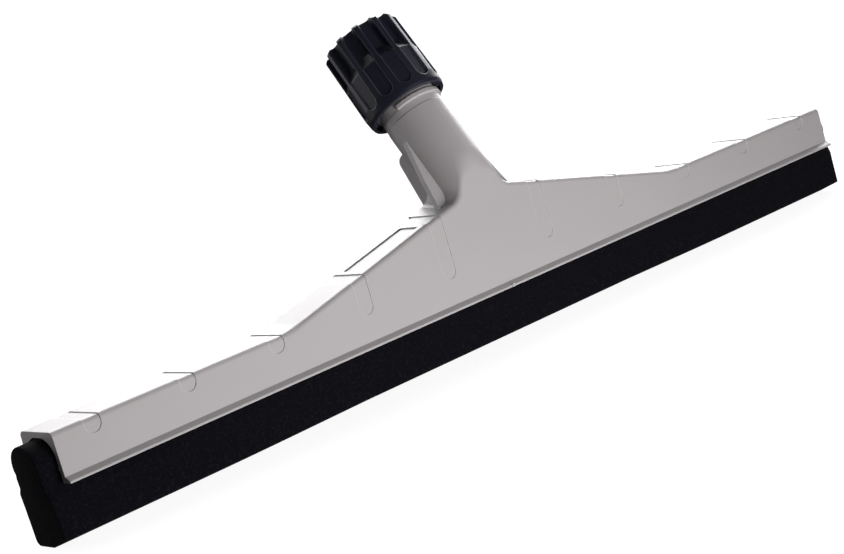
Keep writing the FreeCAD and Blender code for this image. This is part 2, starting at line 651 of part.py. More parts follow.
def collar_annulus():
    """The open gap between shell and sleeve and below the sleeve, with the webs left in."""
    below = COLLAR_BOTTOM_T - CUT_PAST
    gap = tube(SHELL_RADIUS, SLEEVE_RADIUS + SLEEVE_WALL, below,
               COLLAR_BOTTOM_T + ANNULUS_HEIGHT)
    recess = tube(SHELL_RADIUS, SLEEVE_RADIUS - CUT_PAST, below,
                  COLLAR_BOTTOM_T + SLEEVE_RECESS)
    inner = STOP_RADIUS + STOP_CLEARANCE
    outer = SHELL_RADIUS + SHELL_WALL
    web = Part.makeBox(COLLAR_WEB_THICKNESS, outer - inner, ANNULUS_HEIGHT,
                       V(-COLLAR_WEB_THICKNESS / 2, -outer, COLLAR_BOTTOM_T + COLLAR_WEB_RECESS))
    webs = [turned(web, COLLAR_RIB_PHASE + 360.0 / COLLAR_RIBS * i) for i in range(COLLAR_RIBS)]
    return gap.fuse(recess).cut(webs)


def pocket_tool():
    """Cuts one shallow pocket with a round lower end, facing local +X."""
    half = POCKET_WIDTH / 2
    spring = POCKET_BOTTOM_U + half
    inner = COLLAR_SKIRT_RADIUS - POCKET_DEPTH
    arc = Part.Arc(V(inner, -half, spring), V(inner, 0, POCKET_BOTTOM_U),
                   V(inner, half, spring)).toShape()
    sides = Part.makePolygon([V(inner, half, spring), V(inner, half, POCKET_TOP_U),
                              V(inner, -half, POCKET_TOP_U), V(inner, -half, spring)])
    return Part.Face(Part.Wire([arc] + sides.Edges)).extrude(V(OVERSIZE, 0, 0))


def flute_tool():
    """Cuts one deep flute, open at the top, with a ramp down from the pocket's floor."""
    floor = FLUTE_FLOOR_WIDTH / 2
    mouth = FLUTE_MOUTH_WIDTH / 2
    shallow = COLLAR_SKIRT_RADIUS - POCKET_DEPTH
    deep = COLLAR_TOP_RADIUS - FLUTE_DEPTH
    shoulder = COLLAR_TOP_RADIUS - RIB_SHOULDER
    crest = mouth + RIB_SHOULDER
    outer = COLLAR_TOP_RADIUS + CUT_PAST
    past = COLLAR_LENGTH + CUT_PAST
    half = [(deep, floor), (shoulder, mouth), (COLLAR_TOP_RADIUS, crest), (outer, crest)]
    corners = half + [(r, -y) for r, y in reversed(half)]
    radii = [FLUTE_CORNER if r == deep else 0 for r, _ in corners]
    prism = rounded_face([V(r, y, POCKET_TOP_U) for r, y in corners], radii)
    ramp = polygon_face([V(shallow, -mouth * 2, POCKET_TOP_U), V(deep, -mouth * 2, FLUTE_START_U),
                         V(deep, -mouth * 2, past), V(outer, -mouth * 2, past),
                         V(outer, -mouth * 2, POCKET_TOP_U)])
    return prism.extrude(V(0, 0, past - POCKET_TOP_U)).common(ramp.extrude(V(0, mouth * 4, 0)))


def locking_collar():
    """Ribbed collar that screws down the neck and draws the collet in."""
    step = 360.0 / COLLAR_RIBS
    tool = pocket_tool().fuse(flute_tool()).translated(V(0, 0, COLLAR_BOTTOM_T))
    first = COLLAR_RIB_PHASE - 90 + step / 2
    tools = [turned(tool, first + step * i) for i in range(COLLAR_RIBS)]
    collar = collar_blank().cut(tools + [collar_annulus()]).removeSplitter()
    bottom = THREAD_START_T + NECK_RIDGE_BASE + COLLAR_RIDGE_LEAD * THREAD_PITCH
    ridge = helical_ridge(SLEEVE_RADIUS + THREAD_ROOT_SINK, COLLAR_CREST, COLLAR_RIDGE_BASE,
                          COLLAR_RIDGE_CREST, bottom, COLLAR_RIDGE_TURNS)
    return on_neck(collar.fuse(ridge))


# ---------------------------------------------------------------- grip collet
def grip_collet():
    """Slotted tapered ring whose fingers close on the handle in the neck's mouth."""
    def finger_radius(height):
        return mouth_radius(height - TIGHTEN_TRAVEL) - COLLET_TAPER_PLAY

    profile = [(SOCKET_RADIUS, COLLET_BOTTOM_T),
               (finger_radius(COLLET_BOTTOM_T), COLLET_BOTTOM_T),
               (finger_radius(NECK_TOP_T), NECK_TOP_T),
               (finger_radius(NECK_TOP_T), COLLET_FLANGE_T),
               (COLLET_FLANGE_RADIUS, COLLET_FLANGE_T), (COLLET_FLANGE_RADIUS, COLLET_TOP_T),
               (SOCKET_RADIUS, COLLET_TOP_T)]
    low = COLLET_BOTTOM_T - CUT_PAST
    slot = Part.makeBox(NECK_RADIUS, COLLET_SLOT_WIDTH, COLLET_FLANGE_T - COLLET_SLOT_END - low,
                        V(0, -COLLET_SLOT_WIDTH / 2, low))
    slots = [turned(slot, 360.0 / COLLET_SLOTS * i) for i in range(COLLET_SLOTS)]
    return on_neck(revolved(profile).cut(slots))


# ---------------------------------------------------------------- blade
def blade_end(side):
    """Cuts one end of the foam on a slant: side -1 is the left end."""
    corner = V(BLADE_LEFT_X if side < 0 else BLADE_RIGHT_X, 0, BLADE_TOP_Z)
    tool = Part.makeBox(OVERSIZE, 2 * OVERSIZE, 3 * OVERSIZE,
                        V(-OVERSIZE if side < 0 else 0, -OVERSIZE, -2 * OVERSIZE))
    tool.rotate(V(0, 0, 0), V(0, 1, 0), side * BLADE_END_SLANT)
    return tool.translated(corner)


def foam_blade():
    """Folded foam with a slit between its leaves, a pocket for the core strip and a groove
    along each side for the frame's beads."""
    half_top = cavity_half_width(ROOF_Z) - BLADE_SIDE_GAP
    half_groove = cavity_half_width(BEAD_Z) - BEAD_PROUD - BLADE_BEAD_GAP
    side = [(half_top, LIP_BOTTOM_Z), (half_top, BEAD_Z - BEAD_HALF_HEIGHT - BLADE_BEAD_GAP),
            (half_groove, BEAD_Z), (half_top, BEAD_Z + BEAD_HALF_HEIGHT + BLADE_BEAD_GAP),
            (half_top, BLADE_TOP_Z)]
    edge = [(-BLADE_FRONT_HIP_OUT, BLADE_FRONT_HIP_Z), (-BLADE_FRONT_OUT, BLADE_BEVEL_RISE),
            (-BLADE_LAND, 0), (BLADE_REAR_OUT, 0), (BLADE_REAR_OUT, BLADE_REAR_HIP_Z)]
    outline = edge + side + [(-y, z) for y, z in reversed(side)]
    top = [0, 0, 0, 0, BLADE_TOP_ROUND]
    radii = [BLADE_HIP_ROUND, BLADE_FRONT_EDGE_ROUND, 0, BLADE_REAR_EDGE_ROUND, BLADE_HIP_ROUND / 2]
    radii += top + top[::-1]
    start = BLADE_LEFT_X - CUT_PAST
    length = BLADE_RIGHT_X + CUT_PAST - start
    section = rounded_face([V(start, y, z) for y, z in outline], radii)
    foam = section.extrude(V(length, 0, 0))
    slit = Part.makeBox(length + 2 * CUT_PAST, SEAM_GAP, SEAM_TOP_Z + CUT_PAST,
                        V(start - CUT_PAST, SEAM_Y - SEAM_GAP / 2, -CUT_PAST))
    width = CORE_THICKNESS + 2 * CORE_CLEARANCE
    pocket = Part.makeBox(CORE_RIGHT_X - CORE_LEFT_X + 2 * CORE_CLEARANCE, width,
                          CORE_HEIGHT + 2 * CORE_CLEARANCE,
                          V(CORE_LEFT_X - CORE_CLEARANCE, SEAM_Y - width / 2,
                            CORE_BOTTOM_Z - CORE_CLEARANCE))
    return foam.cut([slit, pocket, blade_end(-1), blade_end(1)])


def blade_core_strip():
    """Stiff strip inside the fold that keeps the foam straight."""
    strip = Part.makeBox(CORE_RIGHT_X - CORE_LEFT_X, CORE_THICKNESS, CORE_HEIGHT,
                         V(CORE_LEFT_X, SEAM_Y - CORE_THICKNESS / 2, CORE_BOTTOM_Z))
    upright = [edge for edge in strip.Edges if abs(edge.tangentAt(0).y) > 0.5]
    return strip.makeFillet(CORE_CORNER, upright)


# ---------------------------------------------------------------- export
def main():
    """Build every piece and write it to parts/."""
    os.makedirs("parts", exist_ok=True)
    pieces = {
        "channel_frame": channel_frame(),
        "locking_collar": locking_collar(),
        "grip_collet": grip_collet(),
        "foam_blade": foam_blade(),
        "blade_core_strip": blade_core_strip(),
    }
    for name, shape in pieces.items():
        shape.exportStep("parts/" + name + ".step")
        print(name, "solids", len(shape.Solids), "valid", shape.isValid(),
              "volume", round(shape.Volume))


main()
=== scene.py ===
"""Dresses the floor squeegee head: polypropylene frame, ribbed locking collar and foam blade.

Everything is in metres in the part's own frame: X runs along the blade, -Y is the front, +Z is
up, and the origin is the middle of the blade's working edge.
"""

import logging
import math
from dataclasses import dataclass, field
from enum import Enum
from typing import Any, Optional, Sequence

import bmesh
import bpy
from mathutils import Matrix, Vector, noise

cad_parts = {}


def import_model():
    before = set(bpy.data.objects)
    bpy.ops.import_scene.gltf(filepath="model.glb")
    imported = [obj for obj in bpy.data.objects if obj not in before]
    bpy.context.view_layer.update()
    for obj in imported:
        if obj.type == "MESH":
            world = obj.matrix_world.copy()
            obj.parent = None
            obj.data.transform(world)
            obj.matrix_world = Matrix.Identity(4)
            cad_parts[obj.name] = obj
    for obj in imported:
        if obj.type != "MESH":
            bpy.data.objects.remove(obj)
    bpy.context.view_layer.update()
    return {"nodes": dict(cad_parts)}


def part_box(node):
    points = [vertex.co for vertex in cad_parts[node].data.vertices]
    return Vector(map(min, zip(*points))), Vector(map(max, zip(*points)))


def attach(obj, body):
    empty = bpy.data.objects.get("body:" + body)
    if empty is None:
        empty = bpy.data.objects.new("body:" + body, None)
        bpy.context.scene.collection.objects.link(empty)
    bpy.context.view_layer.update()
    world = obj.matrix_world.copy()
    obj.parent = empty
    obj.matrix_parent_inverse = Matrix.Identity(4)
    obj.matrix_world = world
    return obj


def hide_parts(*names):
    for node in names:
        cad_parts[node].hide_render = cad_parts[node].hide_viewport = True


log = logging.getLogger("squeegee")

MM = 0.001
WHITE = (1.0, 1.0, 1.0, 1.0)
SENSOR_MM = 36.0


# ---------------------------------------------------------------- small helpers
def linear(hex_colour: str) -> tuple[float, float, float, float]:
    """Turns an sRGB hex colour to linear RGBA.

    Args:
        hex_colour: six hex digits with a leading hash.

    Returns:
        Linear red, green, blue and an alpha of 1.
    """
    values = [int(hex_colour[i:i + 2], 16) / 255.0 for i in (1, 3, 5)]
    red, green, blue = (v / 12.92 if v <= 0.04045 else ((v + 0.055) / 1.055) ** 2.4
                        for v in values)
    return (red, green, blue, 1.0)


def node(tree: bpy.types.NodeTree, kind: str, settings: Optional[dict[str, Any]] = None,
         links: Optional[dict[Any, Any]] = None) -> bpy.types.Node:
    """Adds one shader node.

    Args:
        tree: the node tree that gets it.
        kind: the node's type, such as ShaderNodeBump.
        settings: attributes, or inputs by name or index, and their values. A colour ramp
            takes its stops, positions from 0 to 1 with linear colours, under "stops".
        links: inputs by name or index, and the output socket that feeds each.

    Returns:
        The new node.
    """
    made = tree.nodes.new(kind)
    for name, value in (settings or {}).items():
        if name == "stops":
            for element, (position, colour) in zip(made.color_ramp.elements, value):
                element.position = position
                element.color = colour
        elif isinstance(name, str) and hasattr(made, name):
            setattr(made, name, value)
        else:
            made.inputs[name].default_value = value
    for name, socket in (links or {}).items():
        tree.links.new(socket, made.inputs[name])
    return made


def blank_material(name: str) -> bpy.types.Material:
    """Makes a material with an empty node tree.

    Args:
        name: what the material is.

    Returns:
        The new material.
    """
    material = bpy.data.materials.new(name)
    material.use_nodes = True
    material.node_tree.nodes.clear()
    return material


def placed(name: str, data: bpy.types.ID) -> bpy.types.Object:
    """Puts a mesh, light or camera into the scene.

    Args:
        name: the new object's name.
        data: the mesh, light or camera that it shows.

    Returns:
        The new object.
    """
    made = bpy.data.objects.new(name, data)
    bpy.context.scene.collection.objects.link(made)
    return made


def direction(azimuth: float, elevation: float) -> Vector:
    """Turns two angles to a direction away from the object.

    Args:
        azimuth: degrees from the front, -Y, towards the right, +X.
        elevation: degrees upwards.

    Returns:
        The direction, one unit long.
    """
    turn, rise = math.radians(azimuth), math.radians(elevation)
    return Vector((math.sin(turn) * math.cos(rise), -math.cos(turn) * math.cos(rise),
                   math.sin(rise)))


def clipped(share: float) -> float:
    """Keeps a share between 0 and 1."""
    return max(0.0, min(1.0, share))


# ---------------------------------------------------------------- finishes
class Surface(Enum):
    """How a plastic surface was made: its grain's spacing and depth in millimetres, and how
    many times longer than wide the grain is along the blade."""

    SPARK_ERODED = (0.5, 0.02, 1.0)
    POLISHED_TOOL = (0.4, 0.006, 1.0)
    EXTRUDED = (0.3, 0.012, 40.0)


@dataclass(frozen=True)
class Plastic:
    """A moulded or extruded thermoplastic."""

    name: str
    colour: str
    shade: str                 # the slightly darker tone of its flow marks
    edge_highlight: str                # painted highlight: the lighter tone of its eased edges, as if they caught the light
    surface: Surface
    roughness: float
    uneven: float = 0.05       # how far the roughness wanders; it stays above 0.275, since a
                               # denoiser takes smoother spots apart and would outline them
    edge_mm: float = 0.5       # how far the tool's edges are eased
    highlight_full: float = 0.9     # cosine of the easing's tilt where an edge has its full painted highlight,
    highlight_none: float = 0.995   # and where it has none
    cloud_mm: float = 45.0     # size of the slow colour and gloss changes
    cloud_range: tuple[float, float] = (0.2, 0.8)    # the noise's own range, so none is cut off
    along_flow: float = 0.35   # the changes are slower along the blade, as the melt runs
    ior: float = 1.49          # polypropylene
    glow: float = 0.0          # share of light scattered under the surface
    glow_mm: float = 1.5       # how far it spreads

    def build(self) -> bpy.types.Material:
        """Makes the material.

        Returns:
            A material whose colour, roughness and relief come from procedural nodes.
        """
        grain_mm, depth_mm, drawn_out = self.surface.value
        least, most = self.cloud_range
        material = blank_material(self.name)
        tree = material.node_tree
        place = node(tree, "ShaderNodeTexCoord").outputs["Object"]
        flow = node(tree, "ShaderNodeMapping", {"Scale": (self.along_flow, 1.0, 1.0)},
                    {"Vector": place})
        clouds = node(tree, "ShaderNodeTexNoise",
                      {"Scale": 1.0 / (self.cloud_mm * MM), "Detail": 3.0, "Roughness": 0.5},
                      {"Vector": flow.outputs["Vector"]}).outputs["Fac"]
        tone = node(tree, "ShaderNodeValToRGB",
                    {"stops": [(least, linear(self.shade)), (most, linear(self.colour))]},
                    {"Fac": clouds})
        line = node(tree, "ShaderNodeMapping", {"Scale": (1.0 / drawn_out, 1.0, 1.0)},
                    {"Vector": place})
        grain = node(tree, "ShaderNodeTexNoise",
                     {"Scale": 1.0 / (grain_mm * MM), "Detail": 2.0, "Roughness": 0.6},
                     {"Vector": line.outputs["Vector"]})
        shine = node(tree, "ShaderNodeMapRange",
                     {"From Min": least, "From Max": most,
                      "To Min": self.roughness - self.uneven,
                      "To Max": self.roughness + self.uneven}, {"Value": clouds})
        eased = node(tree, "ShaderNodeBevel", {"samples": 8, "Radius": self.edge_mm * MM})
        flat = node(tree, "ShaderNodeNewGeometry")
        along = node(tree, "ShaderNodeVectorMath", {"operation": "DOT_PRODUCT"},
                     {0: eased.outputs["Normal"], 1: flat.outputs["Normal"]})
        # painted highlight: where the eased normal tilts away from the flat one, the edge takes
        # the lighter highlight colour
        edge = node(tree, "ShaderNodeMapRange",
                    {"From Min": self.highlight_full, "From Max": self.highlight_none, "To Min": 1.0,
                     "To Max": 0.0}, {"Value": along.outputs["Value"]})
        colour = node(tree, "ShaderNodeMix", {"data_type": "RGBA", 7: linear(self.edge_highlight)},
                      {0: edge.outputs["Result"], 6: tone.outputs["Color"]})
        bump = node(tree, "ShaderNodeBump", {"Strength": 1.0, "Distance": depth_mm * MM},
                    {"Height": grain.outputs["Fac"], "Normal": eased.outputs["Normal"]})
        shader = node(tree, "ShaderNodeBsdfPrincipled",
                      {"IOR": self.ior, "Subsurface Weight": self.glow,
                       "Subsurface Radius": (1.0, 1.0, 1.0),
                       "Subsurface Scale": self.glow_mm * MM},
                      {"Base Color": colour.outputs[2],
                       "Roughness": shine.outputs["Result"],
                       "Normal": bump.outputs["Normal"]})
        node(tree, "ShaderNodeOutputMaterial", links={"Surface": shader.outputs["BSDF"]})
        return material


@dataclass(frozen=True)
class CellularRubber:
    """Black closed-cell rubber foam with cut cells on its faces."""

    name: str = "cellular_rubber_sliced"
    colour: str = "#0E0D12"
    dust_and_glint: str = "#17161C"      # specks of dust and painted glint: walls of the cut cells, lighter as if they caught the light
    cell_mm: float = 0.9       # real cells are about 0.3 mm; drawn coarser so that they show
    cell_depth_mm: float = 0.12
    specks: float = 0.7        # spots of dust and painted glint, for each cell along a line
    speck_range: tuple[float, float] = (0.52, 0.72)   # only the noise's peaks get dust and painted glint
    fold_mm: float = 14.0      # slow unevenness of the sliced face
    fold_depth_mm: float = 0.4
    fold_range: tuple[float, float] = (0.3, 0.7)
    roughness: float = 0.87    # in the hollows, and fully rough on the rises

    def build(self) -> bpy.types.Material:
        """Makes the material.

        Returns:
            A matte near-black material with cut cells, specks of dust and painted glint, and a
            faint sheen.
        """
        material = blank_material(self.name)
        tree = material.node_tree
        place = node(tree, "ShaderNodeTexCoord").outputs["Object"]
        cells = node(tree, "ShaderNodeTexVoronoi", {"Scale": 1.0 / (self.cell_mm * MM)},
                     {"Vector": place}).outputs["Distance"]
        folds = node(tree, "ShaderNodeTexNoise",
                     {"Scale": 1.0 / (self.fold_mm * MM), "Detail": 4.0},
                     {"Vector": place}).outputs["Fac"]
        speck = node(tree, "ShaderNodeTexNoise",
                     {"Scale": self.specks / (self.cell_mm * MM), "Detail": 1.0},
                     {"Vector": place}).outputs["Fac"]
        plain, dust_glint_peak = self.speck_range
        # dust and painted glints: the specks take a lighter colour
        tone = node(tree, "ShaderNodeValToRGB",
                    {"stops": [(plain, linear(self.colour)), (dust_glint_peak, linear(self.dust_and_glint))]},
                    {"Fac": speck})
        low, high = self.fold_range
        rough = node(tree, "ShaderNodeMapRange",
                     {"From Min": low, "From Max": high, "To Min": self.roughness,
                      "To Max": 1.0}, {"Value": folds})
        coarse = node(tree, "ShaderNodeBump",
                      {"Strength": 0.5, "Distance": self.fold_depth_mm * MM},
                      {"Height": folds})
        bump = node(tree, "ShaderNodeBump",
                    {"Strength": 0.6, "Distance": self.cell_depth_mm * MM},
                    {"Height": cells, "Normal": coarse.outputs["Normal"]})
        shader = node(tree, "ShaderNodeBsdfPrincipled",
                      {"IOR": 1.3, "Specular IOR Level": 0.1, "Sheen Weight": 0.02,
                       "Sheen Roughness": 0.6},
                      {"Base Color": tone.outputs["Color"],
                       "Roughness": rough.outputs["Result"], "Normal": bump.outputs["Normal"]})
        node(tree, "ShaderNodeOutputMaterial", links={"Surface": shader.outputs["BSDF"]})
        return material


# Grey polypropylene with a fine spark-eroded skin: satin, with soft wide reflections
FRAME_PP = Plastic("grey_polypropylene_moulded", "#B9B4B5", "#B4AFB0", "#E4E2E3",
                   Surface.SPARK_ERODED, roughness=0.33, glow=0.08)
# Blue-black polypropylene from a polished tool: dark, with narrow bright edge lights, partly
# reflections and partly painted highlight
COLLAR_PP = Plastic("blue_black_polypropylene_moulded", "#242532", "#1F202C", "#4A4B5C",
                    Surface.POLISHED_TOOL, roughness=0.33, edge_mm=0.8, cloud_mm=18.0)
# Undyed polyamide: warm white and slightly translucent
COLLET_PA = Plastic("natural_polyamide_moulded", "#DDD8C8", "#D3CDBB", "#E9E5D8",
                    Surface.POLISHED_TOOL, roughness=0.33, cloud_mm=12.0, ior=1.53, glow=0.3)
# Extruded polypropylene strip: dull, with faint lines along its length
STRIP_PP = Plastic("grey_polypropylene_extruded", "#8C8B8A", "#7F7E7D", "#A09F9E",
                   Surface.EXTRUDED, roughness=0.55)
FOAM = CellularRubber()


def dress(piece: bpy.types.Object, material: bpy.types.Material) -> None:
    """Puts one material on every slot of a piece and reports it.

    Args:
        piece: the mesh object, which gets a slot if it has none.
        material: what it is made of.
    """
    if not piece.data.materials:
        piece.data.materials.append(material)
    for index in range(len(piece.data.materials)):
        piece.data.materials[index] = material
    log.info("%s dressed in %s", piece.name, material.name)


# ---------------------------------------------------------------- sub-assemblies
@dataclass
class ChannelFrame:
    """The grey moulding: channel, gable, neck and gussets, whose CAD shape stays."""

    nodes: dict[str, bpy.types.Object]
    finish: Plastic = FRAME_PP

    def dress(self) -> None:
        """Gives the moulding its plastic."""
        dress(self.nodes["channel_frame"], self.finish.build())


@dataclass
class HandleLock:
    """The ribbed collar and the collet snapped into it, whose CAD shapes stay."""

    nodes: dict[str, bpy.types.Object]
    collar_finish: Plastic = COLLAR_PP
    collet_finish: Plastic = COLLET_PA

    def dress(self) -> None:
        """Gives collar and collet their plastics."""
        dress(self.nodes["locking_collar"], self.collar_finish.build())
        dress(self.nodes["grip_collet"], self.collet_finish.build())


@dataclass
class FoamBlade:
    """The folded foam with its two leaves, and the strip in its fold.

    Lengths are in millimetres, and a section's points are (y, z) with y towards the back.
    """

    nodes: dict[str, bpy.types.Object]
    box: list[Vector] = field(init=False)      # the CAD foam's lowest and highest corner,
    strip: list[Vector] = field(init=False)    # and the strip's
    held: float = 10.28              # half its thickness in the channel
    groove: float = 9.76             # the same, between the frame's beads
    bead_z: float = 33.0             # height of the beads
    groove_half: float = 1.8         # half the height of the groove that they press
    lip_z: float = 26.8              # the channel's lower edge
    fold_round: float = 10.2         # the fold is all but a half circle
    front_hip: tuple[float, float] = (-12.6, 22.0)    # where the front leaf has widened,
    front_edge: tuple[float, float] = (-13.9, 3.9)    # and its lower edge, over a bevel
    land: float = 1.2                # the bevel starts this far in front of the middle
    rear_hip: tuple[float, float] = (12.0, 24.0)
    edge_rounds: tuple[float, float] = (1.0, 3.0)    # front leaf, rear leaf
    hip_rounds: tuple[float, float] = (6.0, 3.0)
    slit_y: float = 1.2
    slit_gap: float = 0.6
    slit_top: float = 36.0
    slit_tip: float = 0.5            # its last stretch, in the sections without the pocket
    pocket_play: float = 0.3         # round the strip
    end_slant: float = 2.9           # degrees
    end_round: float = 0.6           # soft edge of the cut ends
    end_bow: float = 0.3             # its middle point, as a share of it
    slant_reach: float = 12.0        # the slant fades out this far from an end
    station: float = 3.0             # spacing of the sections along the blade
    detail: float = 2.0              # longest step round a section,
    arc_step: float = 1.2            # and round a corner, which has at least
    arc_least: int = 3               # this many
    sag: float = 0.35                # how far the sliced faces wander inwards
    sag_length: float = 38.0
    sag_apart: float = 40.0          # sets the wander of front and rear apart
    sag_below_hip: float = 6.0       # it is full this far below the rear hip,
    sag_above_edge: float = 3.0      # and down to this far above the working edge
    lift: float = 1.4                # rise of the front leaf's edge in the middle
    lift_reach: float = 190.0
    crease: float = 38.0             # degrees, from which an edge is sharp
    finish: CellularRubber = FOAM
    strip_finish: Plastic = STRIP_PP

    def __post_init__(self) -> None:
        """Takes the boxes of the CAD foam and its strip, in millimetres."""
        self.box = [Vector(corner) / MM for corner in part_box("foam_blade")]
        self.strip = [Vector(corner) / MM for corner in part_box("blade_core_strip")]

    def rounded(self, corners: Sequence[tuple[float, float, float]]) -> list[Vector]:
        """Rounds the corners of an open line.

        Args:
            corners: (y, z, radius) of each corner, 0 for a sharp one.

        Returns:
            The line's points, with each rounding as a short run of points.
        """
        points = []
        for index, (y, z, radius) in enumerate(corners):
            here = Vector((y, z))
            if radius <= 0:
                points.append(here)
                continue
            back = (Vector(corners[index - 1][:2]) - here).normalized()
            ahead = (Vector(corners[index + 1][:2]) - here).normalized()
            half = back.angle(ahead) / 2
            centre = here + (back + ahead).normalized() * (radius / math.sin(half))
            start = here + back * (radius / math.tan(half)) - centre
            sweep = start.angle_signed(here + ahead * (radius / math.tan(half)) - centre)
            steps = max(self.arc_least, math.ceil(abs(sweep) * radius / self.arc_step))
            for step in range(steps + 1):
                turn = Matrix.Rotation(-sweep * step / steps, 2)
                points.append(centre + turn @ start)
        return points

    def outline(self) -> list[Vector]:
        """Draws the outside of a section.

        Returns:
            Its points, from the slit round the front, the fold and the rear to the slit again.
        """
        top = self.box[1].z
        slit = self.slit_gap / 2
        side = [(self.held, self.lip_z, 0.0),
                (self.held, self.bead_z - self.groove_half, 0.0),
                (self.groove, self.bead_z, 0.0),
                (self.held, self.bead_z + self.groove_half, 0.0),
                (self.held, top, self.fold_round)]
        corners = [(self.slit_y - slit, 0.0, 0.0), (-self.land, 0.0, 0.0),
                   (*self.front_edge, self.edge_rounds[0]),
                   (*self.front_hip, self.hip_rounds[0])]
        corners += [(-y, z, radius) for y, z, radius in side] + side[::-1]
        corners += [(*self.rear_hip, self.hip_rounds[1]),
                    (self.rear_hip[0], 0.0, self.edge_rounds[1]),
                    (self.slit_y + slit, 0.0, 0.0)]
        line = self.rounded(corners)
        fine = [line[0]]
        for start, end in zip(line, line[1:]):
            steps = max(1, math.ceil((end - start).length / self.detail))
            fine += [start.lerp(end, step / steps) for step in range(1, steps + 1)]
        return fine

    def inside(self, with_strip: bool) -> list[Vector]:
        """Draws the slit, from the rear leaf's face up and down again to the front leaf's.

        Args:
            with_strip: whether the section has the strip's pocket.

        Returns:
            Six points, also where there is no pocket.
        """
        front = self.slit_y - self.slit_gap / 2
        rear = self.slit_y + self.slit_gap / 2
        low, high, near, far = self.slit_top - self.slit_tip, self.slit_top, front, rear
        if with_strip:
            play = self.pocket_play
            low, high = self.strip[0].z - play, self.strip[1].z + play
            near, far = self.strip[0].y - play, self.strip[1].y + play
        return [Vector(point) for point in ((rear, low), (far, low), (far, high),
                                            (near, high), (near, low), (front, low))]

    def stations(self) -> list[tuple[float, bool, float]]:
        """Lists the sections along the blade.

        Returns:
            Each section's place, whether it has the strip's pocket, and its inset. Both of the
            pocket's ends come twice, without it and with it.
        """
        ends = [corner.x for corner in self.box]
        pocket = (self.strip[0].x - self.pocket_play, self.strip[1].x + self.pocket_play)
        bow = self.end_bow * self.end_round
        soft = [(0.0, self.end_round), (bow, bow)]
        places = [(ends[0] + along, False, inset) for along, inset in soft]
        first, last = ends[0] + self.end_round, ends[1] - self.end_round
        count = math.ceil((last - first) / self.station)
        for index in range(count + 1):
            x = first + (last - first) * index / count
            places.append((x, pocket[0] < x < pocket[1], 0.0))
        places += [(x, with_strip, 0.0) for x in pocket for with_strip in (False, True)]
        places += [(ends[1] - along, False, inset) for along, inset in soft]
        middle = (ends[0] + ends[1]) / 2
        return sorted(places, key=lambda place: (place[0], place[1] == (place[0] < middle)))

    def shaped(self, x: float, point: Vector, outward: Vector, inset: float) -> Vector:
        """Moves one point of a section to where the real foam's face lies.

        Args:
            x: the section's place.
            point: the point in the section.
            outward: the section's outward direction there, zero in the slit.
            inset: how far the section's outside is drawn in.

        Returns:
            The point in the part's frame, in metres.
        """
        free = clipped((self.rear_hip[1] - point.y) / self.sag_below_hip)
        free *= clipped(point.y / self.sag_above_edge)
        wander = noise.noise(Vector((x, point.y, self.sag_apart * outward.x)) / self.sag_length)
        moved = point - outward * (inset + free * self.sag * (0.5 + 0.5 * wander))
        if point.x < self.slit_y:
            middle = clipped(1.0 - (x / self.lift_reach) ** 2) ** 2
            moved.y += self.lift * middle * clipped(1.0 - point.y / self.lip_z) ** 2
        # the cut ends lean in towards the working edge
        slant = math.tan(math.radians(self.end_slant)) * (self.box[1].z - point.y)
        for side, end in zip((1.0, -1.0), self.box):
            x += side * slant * clipped(1.0 - abs(x - end.x) / self.slant_reach)
        return Vector((x, moved.x, moved.y)) * MM

    def skin(self) -> bpy.types.Mesh:
        """Sweeps the section along the blade, shapes it and closes its cut ends.

        Returns:
            The foam's closed surface.
        """
        line = self.outline()
        outward = []
        for index, point in enumerate(line):
            run = line[min(index + 1, len(line) - 1)] - line[max(index - 1, 0)]
            outward.append(Vector((-run.y, run.x)).normalized())
        outward[0] = outward[-1] = Vector((0.0, -1.0))
        work = bmesh.new()
        rings = []
        for x, with_strip, inset in self.stations():
            ring = [work.verts.new(self.shaped(x, point, way, inset))
                    for point, way in zip(line, outward)]
            ring += [work.verts.new(self.shaped(x, point, Vector((0.0, 0.0)), 0.0))
                     for point in self.inside(with_strip)]
            rings.append(ring)
        for near, far in zip(rings, rings[1:]):
            for index in range(len(near)):
                after = (index + 1) % len(near)
                work.faces.new((near[index], near[after], far[after], far[index]))
        for ring in (rings[0][::-1], rings[-1]):
            cap = work.faces.new(ring)
            bmesh.ops.triangulate(work, faces=[cap])
        bmesh.ops.recalc_face_normals(work, faces=work.faces)
        for face in work.faces:
            face.smooth = True
        mesh = bpy.data.meshes.new("foam_blade_sliced")
        work.to_mesh(mesh)
        work.free()
        mesh.set_sharp_from_angle(angle=math.radians(self.crease))
        log.info("foam blade swept through %d sections", len(rings))
        return mesh

    def build(self) -> bpy.types.Object:
        """Makes the foam, puts it on the blade's body and hides the CAD foam.

        Returns:
            The foam, which replaces the CAD foam.
        """
        foam = placed("foam_blade_sliced", self.skin())
        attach(foam, "blade")
        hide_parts("foam_blade")
        return foam

    def dress(self) -> None:
        """Builds the foam and gives it and its strip their finishes."""
        dress(self.build(), self.finish.build())
        dress(self.nodes["blade_core_strip"], self.strip_finish.build())


# ---------------------------------------------------------------- studio
@dataclass(frozen=True)
class Glow:
    """One soft bright patch of the room, seen from the object."""

    towards: tuple[float, float]   # degrees: azimuth from the front to the right, elevation
    full: float                    # full brightness up to this angle from its middle,
    none: float                    # and none of it past this one
    level: float

    def build(self, tree: bpy.types.NodeTree,
              way: bpy.types.NodeSocket) -> bpy.types.NodeSocket:
        """Adds the patch to the world's nodes.

        Args:
            tree: the world's node tree.
            way: the socket that gives the direction looked in.

        Returns:
            The socket of its brightness.
        """
        near = node(tree, "ShaderNodeVectorMath",
                    {"operation": "DOT_PRODUCT", 1: direction(*self.towards)}, {0: way})
        patch = node(tree, "ShaderNodeMapRange",
                     {"interpolation_type": "SMOOTHSTEP", "To Max": self.level,
                      "From Min": math.cos(math.radians(self.none)),
                      "From Max": math.cos(math.radians(self.full))},
                     {"Value": near.outputs["Value"]})
        return patch.outputs["Result"]


